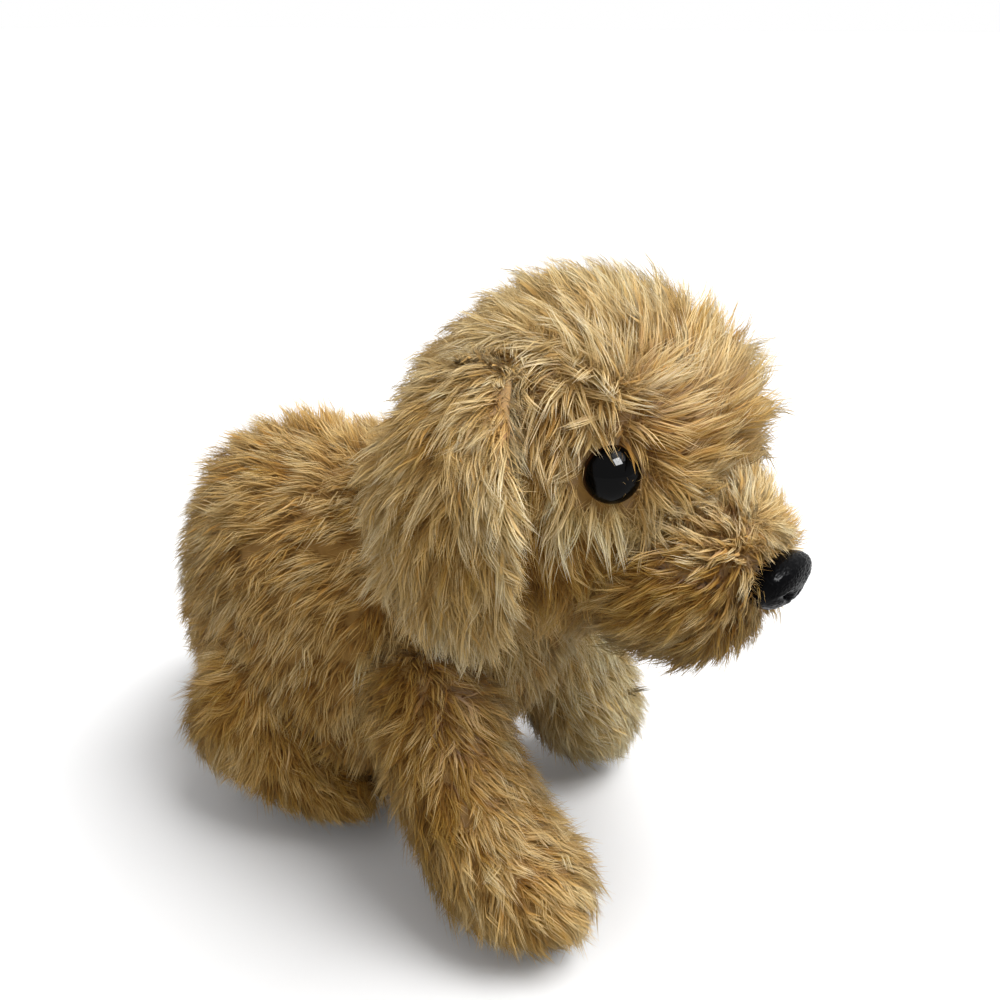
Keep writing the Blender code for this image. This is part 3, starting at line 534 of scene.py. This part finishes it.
# Painted shade: the tone is lowered round each eye below the fringe, in the crease before the eye and in a
# line before the front edge of each ear.
crease_shade_off = eye_off - np.stack((9 + 0 * x, -7 * np.sign(y), -2 + 0 * x), -1)
crease_shade = np.exp(-np.sum(crease_shade_off ** 2, 1) / 80)
ear_gap_shade = np.exp(-((x - 17) / 5) ** 2) * ease(side_on, 32, 42) * (1 - ease(z, 20, 32))
tone = tone - 0.40 * eye_near * (1 - fringe) - 0.40 * crease_shade - 0.50 * ear_gap_shade
reach = 16.0 + 1.5 * crest + 2.5 * cheek - 1.5 * nape - 4.0 * stop - 4.0 * eye_near - 4.0 * ear_gap_shade
# Hairs that lean towards an eye stop short of it, and those on the crest stand up.
over_eye = ease(-np.einsum("ij,ij->i", unit(flow), from_head(unit(eye_off))), -0.1, 0.5)
short_of_eye = (np.linalg.norm(eye_off, axis=1) - 7.0) / 0.72 + 5.0 * ease(-eye_off[:, 0], 2, 9)
short_of_eye = np.maximum(5.5, short_of_eye)
reach = reach + over_eye * np.minimum(0, short_of_eye - reach)
whorl = np.exp(-np.sum((own - np.array((52.0, -12.0, 18.0))) ** 2, 1) / 260)
upright = np.maximum(whorl, eye_near)
rise = 56 + np.maximum(22 * crest, 12 * upright) - 8 * cheek - 8 * nape
fall = 4 + np.maximum(34 * crest, 16 * upright) - 6 * nape
pinch = 0.64 - 0.22 * crest + 0.05 * cheek
strip = side_on < 14
throat = (z < -13) & (x > 0)
for name, mask, node in (("head_left_pile", ~strip & ~throat & (y > 0), "head_left_panel"),
                         ("head_right_pile", ~strip & ~throat & (y < 0), "head_right_panel"),
                         ("forehead_pile", strip & ~throat, "forehead_gusset"),
                         ("throat_pile", throat, "throat_panel")):
    pile(name, chosen(spots, mask), flow[mask], tone[mask], "head", node,
         length=reach[mask], rise=rise[mask], fall=fall[mask], pinch=pinch[mask], bend=0.28, spread=2.4)

# Muzzle: a separate stuffed snout of the same plush, sewn to the front of the head. Its pile sweeps
# back from the nose, with a short tuft combed forward over it.
MUZZLE_REACH = 60.5
MUZZLE_DROP = 7
share = np.array((0, 0.33, 0.67, 1))
muzzle_spine = np.stack((12 + MUZZLE_REACH * share, 0 * share, -13 - MUZZLE_DROP * share), -1)
muzzle_share = np.array((1, 1.03, 1, 0.94))
muzzle_wide, muzzle_tall = muzzle_share * HALF_MUZZLE_WIDTH, muzzle_share * HALF_MUZZLE_HEIGHT
muzzle = stuffed(muzzle_spine, muzzle_wide, muzzle_tall, 0.5, place=head_at)
backing("muzzle_body", muzzle, "head", ("muzzle_stuffing",))
spots = locks(muzzle, 1080)
above_pile = spots["root"] + spots["normal"] * 4
keep = clear_of(above_pile, 3.0, "head_stuffing", "torso_stuffing")
keep &= clear_of(spots["root"], 0.2, "nose")
spots = chosen(spots, keep)
own = in_head(spots["root"])
x, y, z = own.T
away = unit(own - np.array((76.0, 0, -9.0)))
flow = from_head(unit(away + np.array((0, 0, -0.25))))
tuft = np.exp(-np.sum((own - np.array((67.0, 0, -1.0))) ** 2 / np.array((60, 90, 60)), 1))
flow = flow + from_head((1.0, 0, -0.3)) * (2.2 * tuft)[:, None]
over = ease(z, -12, 6)
chin = ease(-z, 28, 42)
# The top of the muzzle is painted lighter and its sides and underneath darker: painted light and shade from
# the key above.
tone = 0.10 + 0.52 * over + 0.04 * chin
reach = 11.5 + 2.0 * over + 5.0 * chin - 6.0 * tuft
pile("muzzle_pile", spots, flow, tone, "head", "muzzle_panel", fill=20, spread=1.9,
     length=reach, rise=54 + 14 * over, fall=6 + 14 * over, pinch=0.66)

# Ears: flat flaps of plush with a lining of shorter pile, sewn round the edge and turned. The open end
# is let into the side seam of the head, and the flap folds down over the cheek.
HALF_EAR_WIDTH = 27
HALF_EAR_DEPTH = 11
ear_wide = np.array((0.62, 0.72, 0.96, 1, 0.80)) * HALF_EAR_WIDTH
ear_deep = np.array((0.88, 0.92, 0.97, 1, 0.85)) * HALF_EAR_DEPTH
ear_across = tuple(turn_rest.to_3x3() @ Vector((1, 0, 0)))
ear_spines = {"left": ((91.9, 27.0, 166.4), (92.6, 43.0, 166.6), (93.4, 57.4, 145.8), (94.1, 59.0, 117.0),
                       (94.8, 54.6, 91.9)),
              "right": ((84.0, -27.0, 171.0), (84.7, -42.7, 171.2), (85.5, -61.0, 150.4),
                        (86.2, -63.2, 121.6), (86.9, -58.0, 96.5))}
for hand, word in ((1, "left"), (-1, "right")):
    spine = ear_spines[word]
    fold_height = spine[1][2]
    ear = stuffed(spine, ear_wide, ear_deep, 0.6, side=ear_across)
    backing(f"{word}_ear_body", ear, f"{word}_ear", (f"{word}_ear_lining",), rows=36, columns=28)
    spots = locks(ear, 700)
    spots = chosen(spots, clear_of(spots["root"], 1.5, "head_stuffing"))
    x, y, z = spots["root"].T
    middle_x = np.mean([p[0] for p in spine])
    low = ease(fold_height - z, 50, 76)
    patch = np.exp(-((x - middle_x - 6) / 12) ** 2 - ((fold_height - z - 38) / 10) ** 2)
    outer = (spots["normal"][:, 1] * hand > -0.25) & (spots["normal"][:, 2] > -0.6)
    top = ease(z - fold_height, -14, -2)
    flow = np.stack(((x - middle_x) / 60, hand * (0.12 + 0.8 * top), -1 + 0.4 * top), -1)
    tone = 0.45 + 0.42 * low - 0.26 * patch + 0.15 * ease(x - middle_x, 10, 20)
    reach = 15.5 - 6.5 * low - 3.0 * top
    pile(f"{word}_ear_outer_pile", chosen(spots, outer), flow[outer], tone[outer], f"{word}_ear",
         f"{word}_ear_outer", strands=12, fill=28, length=reach[outer],
         rise=50 - 12 * top[outer], fall=4 + 14 * low[outer], pinch=0.72, bend=0.28)
    pile(f"{word}_ear_lining_pile", chosen(spots, ~outer), flow[~outer], tone[~outer], f"{word}_ear",
         None, strands=5, fill=12, length=11.0, rise=42, fall=4, bends=2)

# Front legs: stuffed tubes of plush, each of an outer and an inner cover, sewn into the shoulders and
# splayed forward to the paws. The pile lies down the leg and forward over the paw.
LIMB_PILE = 6.5
FRONT_LEG_GIRTH = 24
SHOULDER_FORWARD = 52.185
SHOULDER_ASIDE = 33.92
SHOULDER_HEIGHT = 86
STRIDE = 57
STAGGER = 14
PAW_SPLAY = 12
forward = np.array((0, 0.18, 0.39, 0.62, 1))
down = np.array((0, 0.25, 0.545, 0.73, 0.785))
for hand, word in ((1, "left"), (-1, "right")):
    stride = STRIDE - hand * STAGGER
    spread_out = hand * (SHOULDER_ASIDE + down * PAW_SPLAY / down[-1])
    spine = np.stack((SHOULDER_FORWARD + forward * stride, spread_out, SHOULDER_HEIGHT * (1 - down)), -1)
    girth = np.array((1, 1, 0.97, 1.05, 0.98)) * FRONT_LEG_GIRTH
    leg = stuffed(spine, girth, girth, 0.5)
    backing(f"{word}_front_leg_body", leg, f"{word}_front_leg", (f"{word}_front_leg_stuffing",), LIMB_PILE)
    spots = locks(leg, 900, LIMB_PILE)
    above_pile = spots["root"] + spots["normal"] * 5
    keep = clear_of(above_pile, 4.5, "torso_stuffing") & (above_pile[:, 2] > 1.0)
    spots = chosen(spots, keep)
    x, y, z = spots["root"].T
    ahead = ease(-z, -70, -20)
    flow = np.stack((0.15 + 0.75 * ahead, 0.0 * x, -0.95 + 0.1 * ahead), -1)
    # Each leg is painted dark at the top as shade under the head and grows paler towards the paw. The left
    # paw is painted lighter than the right as painted light.
    tone = 0.03 + (0.62 + 0.26 * hand) * ease(x - 0.6 * stride, 20, 62)
    reach = 12.5 * (0.6 + 0.4 * ease(z, 4, 20))
    outer = hand * (y - np.interp(z, spine[::-1, 2], spine[::-1, 1])) > 0
    for part, mask, strands, fill in (("outer", outer, 10, 24), ("inner", ~outer, 8, 20)):
        pile(f"{word}_front_leg_{part}_pile", chosen(spots, mask), flow[mask], tone[mask],
             f"{word}_front_leg", f"{word}_front_leg_{part}", strands=strands, fill=fill,
             length=reach[mask], rise=58, fall=8, bend=0.35, bends=2)

# Hind legs: a broad stuffed thigh that tapers to a short foot, of an outer and an inner cover of plush.
# Each is sewn to the hip and lies forward along the floor.
HIND_LEG_GIRTH = 20.5
HIP_FORWARD = -29.4
HIP_ASIDE = 34.98
HIP_HEIGHT = 54
HIND_LEG_REACH = 68
TOE_IN = 5
forward = np.array((0, 0.22, 0.46, 0.68, 1))
down = np.array((0, 0.16, 0.42, 0.63, 0.70))
thigh_wide = np.array((1.05, 1.16, 1.06, 0.95, 0.88)) * HIND_LEG_GIRTH
thigh_tall = np.array((1.50, 1.74, 1.26, 0.98, 0.88)) * HIND_LEG_GIRTH
for hand, word in ((1, "left"), (-1, "right")):
    aside = hand * (HIP_ASIDE - TOE_IN * forward)
    spine = np.stack((HIP_FORWARD + forward * HIND_LEG_REACH, aside, HIP_HEIGHT * (1 - down)), -1)
    leg = stuffed(spine, thigh_wide, thigh_tall, 0.55)
    backing(f"{word}_hind_leg_body", leg, f"{word}_hind_leg", (f"{word}_hind_leg_stuffing",), LIMB_PILE)
    spots = locks(leg, 740, LIMB_PILE)
    above_pile = spots["root"] + spots["normal"] * 5
    keep = clear_of(above_pile, 7.0, "torso_stuffing") & (above_pile[:, 2] > 1.0)
    spots = chosen(spots, keep)
    x, y, z = spots["root"].T
    ahead = ease(x, -10, 25)
    flow = np.stack((-0.35 + 1.1 * ahead, 0 * x, -0.9 + 0.3 * ahead), -1)
    tone = 0.19 + 0.06 * hand - 0.08 * ahead
    reach = 12.5 * (0.45 + 0.55 * ease(z, 6, 26))
    outer = hand * (y - np.interp(x, spine[:, 0], spine[:, 1])) > 6
    for part, mask in (("outer", outer), ("inner", ~outer)):
        pile(f"{word}_hind_leg_{part}_pile", chosen(spots, mask), flow[mask], tone[mask],
             f"{word}_hind_leg", f"{word}_hind_leg_{part}", length=reach[mask], pinch=0.4,
             bends=2, bend=0.35)

# Tail: a short stuffed tube of the same plush, sewn into the seam at the rump and curled round to the
# dog's left.
TAIL_PILE = 5.0
TAIL_LENGTH = 70
TAIL_GIRTH = 15
tail_root = (-44.1, 0, 50.7)
tail_path = np.array(((0, 0.05, 0), (-0.30, 0.30, -0.12), (-0.44, 0.62, -0.32), (-0.36, 0.95, -0.45)))
tail_girth = np.array((0.94, 1.06, 1.06, 0.88)) * TAIL_GIRTH
tail = stuffed(tail_path * TAIL_LENGTH + tail_root, tail_girth, tail_girth, 0.6, side=(0, 0, 1))
backing("tail_body", tail, "tail", ("tail_stuffing",), TAIL_PILE)
spots = locks(tail, 270, TAIL_PILE)
above_pile = spots["root"] + spots["normal"] * 4
spots = chosen(spots, clear_of(above_pile, 7.0, "torso_stuffing") & (above_pile[:, 2] > 1))
x, y, z = spots["root"].T
flow = np.stack((-0.25 + 0 * x, 0.9 + 0 * x, -0.4 + 0 * x), -1)
pile("tail_pile", spots, flow, 0.15 + 0 * x, "tail", "tail_cover", length=10.5, bends=2)

# Nape: the edges of the plush that meet behind the head, on neck and head. They lie hidden in the fold
# at rest, and show when the head nods or turns away.
for name, spots, body in (("neck_nape_pile", neck_nape, "neck"), ("head_nape_pile", head_nape, "head")):
    own = in_head(spots["root"])
    near_back = (np.linalg.norm(own, axis=1) > 0.58 * HALF_HEAD_WIDTH) & (own[:, 0] < -8)
    spots = chosen(spots, near_back)
    x, y, z = spots["root"].T
    flow = np.stack((-0.40 + 0 * x, 0.2 * np.sign(y), -0.9 + 0 * x), -1)
    pile(name, spots, flow, 0.32 + 0 * x, body, None, strands=6, fill=14,
         length=10.0, spread=3.0, rise=46, fall=8, bends=2, bend=0.3)

# Eyes: domes moulded in black plastic on a shank, pushed through the fabric and locked with a washer
# behind it. A thin brown rim shows at the edge of each dome.
EYE_RADIUS = 7.5
EYE_DOME = 5.5
EYE_SIDES = 72


def gloss_material(name, dark, rim, rough, shine):
    """Moulded plastic: one dark colour, another at the rim by the map's height, with its own gloss."""
    made = bpy.data.materials.new(name)
    made.use_nodes = True
    nodes, links = made.node_tree.nodes, made.node_tree.links
    shader = nodes["Principled BSDF"]
    where = nodes.new("ShaderNodeUVMap")
    where.uv_map = "turned"
    apart = nodes.new("ShaderNodeSeparateXYZ")
    links.new(where.outputs["UV"], apart.inputs[0])
    ramp = nodes.new("ShaderNodeValToRGB")
    ramp.color_ramp.elements[0].position = 0.16
    ramp.color_ramp.elements[1].position = 0.26
    ramp.color_ramp.elements[0].color = (*rim, 1)
    ramp.color_ramp.elements[1].color = (*dark, 1)
    links.new(apart.outputs["Y"], ramp.inputs["Fac"])
    links.new(ramp.outputs["Color"], shader.inputs["Base Color"])
    shader.inputs["Roughness"].default_value = rough
    shader.inputs["Specular IOR Level"].default_value = shine
    return made


def turned_map(made, rows, columns):
    """Map of a ringed mesh: round the axis across, first ring to last upwards."""
    corner = np.empty(len(made.data.loops), np.int32)
    made.data.loops.foreach_get("vertex_index", corner)
    ring = np.minimum(corner // columns, rows - 1)
    strip = np.stack(((corner % columns) / columns, ring / (rows - 1)), -1)
    strip[corner == rows * columns] = (0.5, 0)
    made.data.uv_layers.new(name="turned").data.foreach_set("uv", strip.astype(np.float32).ravel())


eye_black = gloss_material("eye_black", (0.0008, 0.0008, 0.001), (0.05, 0.018, 0.007), 0.04, 0.08)
azimuth, rise = math.radians(46.5), math.radians(15)
slope = np.linspace(0.06, 1.555, 40)
height = np.concatenate(([-1.0, -1.0, -0.9, 0.0], EYE_DOME * np.sin(slope)))
radius = np.concatenate(([4.0, 7.0, 7.45, EYE_RADIUS], EYE_RADIUS * np.cos(slope)))
turn = np.arange(EYE_SIDES) / EYE_SIDES * 2 * np.pi
for hand, word in ((1, "left"), (-1, "right")):
    out_to_side = hand * math.sin(azimuth) * math.cos(rise)
    look = from_head((math.cos(azimuth) * math.cos(rise), out_to_side, math.sin(rise)))
    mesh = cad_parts[f"{word}_eye"].data
    corners = np.array([v.co for v in mesh.vertices]) / MM
    axis_spot = corners.mean(0)
    crown_at = axis_spot + look * ((corners - axis_spot) @ look).max()
    aside = unit(np.cross(look, (0, 0, 1)))
    over = np.cross(aside, look)
    ring = aside * np.cos(turn)[:, None] + over * np.sin(turn)[:, None]
    points = crown_at + look * (height - EYE_DOME)[:, None, None] + radius[:, None, None] * ring
    eye = closed_grid(f"{word}_eye_dome", points, eye_black)
    turned_map(eye, len(height), EYE_SIDES)
    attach(eye, "head")
    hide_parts(f"{word}_eye")

# Nose: one piece moulded in black plastic with a pebbled skin, two nostrils, a groove between them and
# a lip underneath. Its shank is locked behind the fabric like the eyes'.
NOSE_HALVES = np.array((7.0, 11.8, 7.6))
NOSE_ROWS = 110
NOSE_SIDES = 150
corners = np.array([v.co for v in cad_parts["nose"].data.vertices]) / MM
nose_turn = head_turn @ np.array(Matrix.Rotation(math.radians(-14), 3, "Y"))
local = corners @ nose_turn
nose_middle = (local.max(0) + local.min(0)) / 2 - np.array((0, 0, 1.6))
nose_middle[0] = local[:, 0].max() - 8.0
lat = np.linspace(0.03, np.pi - 0.03, NOSE_ROWS)[:, None]
lon = np.arange(NOSE_SIDES)[None] / NOSE_SIDES * 2 * np.pi
bulge = np.stack((-np.cos(lat) + 0 * lon, np.sin(lat) * np.cos(lon), np.sin(lat) * np.sin(lon)), -1)
squared = np.sign(bulge) * np.abs(bulge) ** 0.86
widen = 1.02 + 0.20 * bulge[..., 2] - 0.08 * bulge[..., 2] ** 2
points = squared * NOSE_HALVES
points[..., 1] *= widen
seeds = unit(np.random.default_rng(3).normal(size=(900, 3)))
apart = np.arccos(np.clip(bulge.reshape(-1, 3) @ seeds.T, -1, 1))
near = np.sort(apart, axis=1)[:, :2].reshape(NOSE_ROWS, NOSE_SIDES, 2)
pebble = 0.16 * (ease(near[..., 1] - near[..., 0], 0, 0.06) - 0.5) * ease(bulge[..., 0], -0.2, 0.3)
dent = np.zeros((NOSE_ROWS, NOSE_SIDES))
for hand in (1, -1):
    off = points - np.array((6.0, 5.2 * hand, -1.8))
    out = 0.86 * hand * off[..., 1] + 0.5 * off[..., 2]
    aside = 0.86 * off[..., 2] - 0.5 * hand * off[..., 1] + 0.10 * out ** 2
    dent += 2.6 * np.exp(-(out / 2.3) ** 2 - (aside / 1.1) ** 2) * (bulge[..., 0] > 0)
dent += 0.9 * np.exp(-(points[..., 1] / 0.8) ** 2) * ease(-points[..., 2], 0.5, 3.0) * (bulge[..., 0] > 0)
lip = 0.7 * np.exp(-((bulge[..., 2] + 0.78) / 0.07) ** 2) * (bulge[..., 0] > -0.1)
points = points + bulge * (pebble - dent - lip)[..., None] * np.array((1, 0.8, 0.9))
points[..., 0] += 0.32 * points[..., 2]
nose_black = gloss_material("nose_black", (0.0015, 0.0015, 0.002), (0.0006, 0.0006, 0.001), 0.24, 0.035)
nose = closed_grid("nose_moulding", (points + nose_middle) @ nose_turn.T, nose_black)
turned_map(nose, NOSE_ROWS, NOSE_SIDES)
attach(nose, "head")
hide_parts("nose")

# Floor and surround: a plain white floor that takes the shadow, in an even white surround. Both look
# white to the camera and give back less light than that.
FLOOR_REACH = 20


def background_rays(tree):
    """One where a ray from the camera, a reflection or a clear piece meets the background, else zero."""
    ray = tree.nodes.new("ShaderNodeLightPath")
    found = ray.outputs["Is Camera Ray"]
    for kind in ("Is Glossy Ray", "Is Transmission Ray"):
        either = tree.nodes.new("ShaderNodeMath")
        either.operation = "MAXIMUM"
        tree.links.new(found, either.inputs[0])
        tree.links.new(ray.outputs[kind], either.inputs[1])
        found = either.outputs[0]
    return found


floor_mesh = bpy.data.meshes.new("floor")
floor_corners = [(a * FLOOR_REACH, b * FLOOR_REACH, -0.0005) for a, b in ((-1, -1), (1, -1), (1, 1), (-1, 1))]
floor_mesh.from_pydata(floor_corners, [], [(0, 1, 2, 3)])
floor = bpy.data.objects.new("floor", floor_mesh)
bpy.context.scene.collection.objects.link(floor)
white = bpy.data.materials.new("white_floor")
white.use_nodes = True
paint = white.node_tree.nodes.new("ShaderNodeMix")
paint.data_type = "RGBA"
shown = background_rays(white.node_tree)
white.node_tree.links.new(shown, paint.inputs["Factor"])
for socket in paint.inputs:
    if socket.type == "RGBA":
        socket.default_value = (0.92, 0.92, 0.92, 1) if socket.name == "B" else (0.30, 0.30, 0.30, 1)
white.node_tree.links.new([s for s in paint.outputs if s.type == "RGBA"][0],
                          white.node_tree.nodes["Principled BSDF"].inputs["Base Color"])
white.node_tree.nodes["Principled BSDF"].inputs["Roughness"].default_value = 0.9
white.node_tree.nodes["Principled BSDF"].inputs["Specular IOR Level"].default_value = 0.1
floor_mesh.materials.append(white)
world = bpy.data.worlds.new("surround")
bpy.context.scene.world = world
world.use_nodes = True
nodes, links = world.node_tree.nodes, world.node_tree.links
even = nodes["Background"]
even.inputs["Color"].default_value = (1.0, 1.0, 1.0, 1)
even.inputs["Strength"].default_value = 0.56
blank = nodes.new("ShaderNodeBackground")
blank.inputs["Color"].default_value = (1, 1, 1, 1)
blank.inputs["Strength"].default_value = 1.0
both = nodes.new("ShaderNodeMixShader")
links.new(background_rays(world.node_tree), both.inputs[0])
links.new(even.outputs[0], both.inputs[1])
links.new(blank.outputs[0], both.inputs[2])
links.new(both.outputs[0], nodes["World Output"].inputs["Surface"])

# Camera and lamps: the camera is at the dog's right front, a little above it. A broad soft key comes
# from the upper right, and a window pane only glints in the eyes and nose.
heading = math.radians(120)
pitch = math.radians(22)
ahead = Vector((math.cos(heading) * math.cos(pitch), math.sin(heading) * math.cos(pitch), -math.sin(pitch)))
lens = bpy.data.cameras.new("camera")
lens.sensor_width = 36
lens.lens = 43.2
lens.clip_start = 0.01
camera = bpy.data.objects.new("camera", lens)
camera.location = (0.2349055, -0.2935563, 0.255)
camera.rotation_euler = ahead.to_track_quat("-Z", "Y").to_euler()
bpy.context.scene.collection.objects.link(camera)
bpy.context.scene.camera = camera
right = Vector((math.sin(heading), -math.cos(heading), 0))
key = bpy.data.lights.new("key", "SUN")
key.energy = 3.15
key.angle = math.radians(45)
key_light = bpy.data.objects.new("key", key)
towards = (right * 0.5 + Vector((0, 0, 0.92)) - ahead * 0.15).normalized()
key_light.rotation_euler = (-towards).to_track_quat("-Z", "Y").to_euler()
bpy.context.scene.collection.objects.link(key_light)
pane = bpy.data.lights.new("window", "AREA")
pane.size = 0.24
pane.energy = 16.0
window = bpy.data.objects.new("window", pane)
window.visible_diffuse = False
face = Vector((0.12, -0.04, 0.15))
window.location = face + Vector((0.62, -0.25, 0.74)).normalized() * 0.6
window.rotation_euler = (face - window.location).to_track_quat("-Z", "Y").to_euler()
bpy.context.scene.collection.objects.link(window)
bpy.context.scene.view_settings.view_transform = "Standard"
